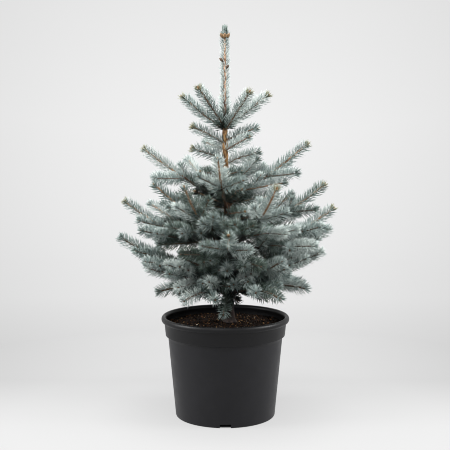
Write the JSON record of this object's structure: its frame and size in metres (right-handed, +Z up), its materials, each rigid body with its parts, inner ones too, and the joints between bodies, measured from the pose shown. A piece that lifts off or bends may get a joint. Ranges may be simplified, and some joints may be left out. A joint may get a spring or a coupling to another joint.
{
  "type": "potted blue spruce",
  "caption": "Young blue spruce with a straight leader and whorled boughs of blue-grey needles, standing in a round black nursery pot with compost.",
  "frame": {"origin": "centre of the pot's flat underside", "axes": "+Z up along the pot's axis, +X to the right and -Y to the front, where a drain notch shows"},
  "size_m": [0.511, 0.4455, 0.908],
  "materials": {
    "pot_plastic": "satin black moulded plastic",
    "compost": "moist dark brown compost with bark crumbs",
    "bark": "orange-brown young bark",
    "needles": "waxy blue-grey needles"
  },
  "bodies": {
    "root": {"pot": "pot_plastic", "soil": "compost", "trunk": "bark", "foliage_leader": "needles", "foliage_top_1": "needles", "foliage_top_2": "needles", "foliage_top_3": "needles", "foliage_top_4": "needles", "foliage_top_5": "needles", "foliage_stem_1": "needles", "foliage_stem_2": "needles", "foliage_stem_3": "needles", "foliage_stem_4": "needles", "foliage_stem_5": "needles", "foliage_stem_6": "needles", "bough_upper_1": "bark", "foliage_upper_1": "needles", "bough_upper_2": "bark", "foliage_upper_2": "needles", "foliage_upper_3": "needles", "foliage_upper_4": "needles", "foliage_upper_5": "needles", "bough_middle_1": "bark", "foliage_middle_1": "needles", "foliage_middle_2": "needles", "bough_middle_3": "bark", "foliage_middle_3": "needles", "bough_middle_4": "bark", "foliage_middle_4": "needles", "bough_middle_5": "bark", "foliage_middle_5": "needles", "bough_middle_6": "bark", "foliage_middle_6": "needles", "bough_middle_7": "bark", "foliage_middle_7": "needles", "foliage_middle_8": "needles", "foliage_middle_9": "needles", "foliage_middle_10": "needles", "bough_lower_1": "bark", "foliage_lower_1": "needles", "bough_lower_2": "bark", "foliage_lower_2": "needles", "bough_lower_3": "bark", "foliage_lower_3": "needles", "foliage_lower_4": "needles", "foliage_lower_5": "needles", "foliage_lower_6": "needles", "foliage_lower_7": "needles", "foliage_lower_8": "needles", "foliage_lower_9": "needles", "foliage_lower_10": "needles", "foliage_lower_11": "needles", "foliage_skirt_1": "needles", "foliage_skirt_2": "needles", "foliage_skirt_3": "needles", "foliage_skirt_4": "needles", "foliage_skirt_5": "needles", "foliage_skirt_6": "needles", "foliage_skirt_7": "needles", "foliage_skirt_8": "needles"}
  },
  "joints": []
}
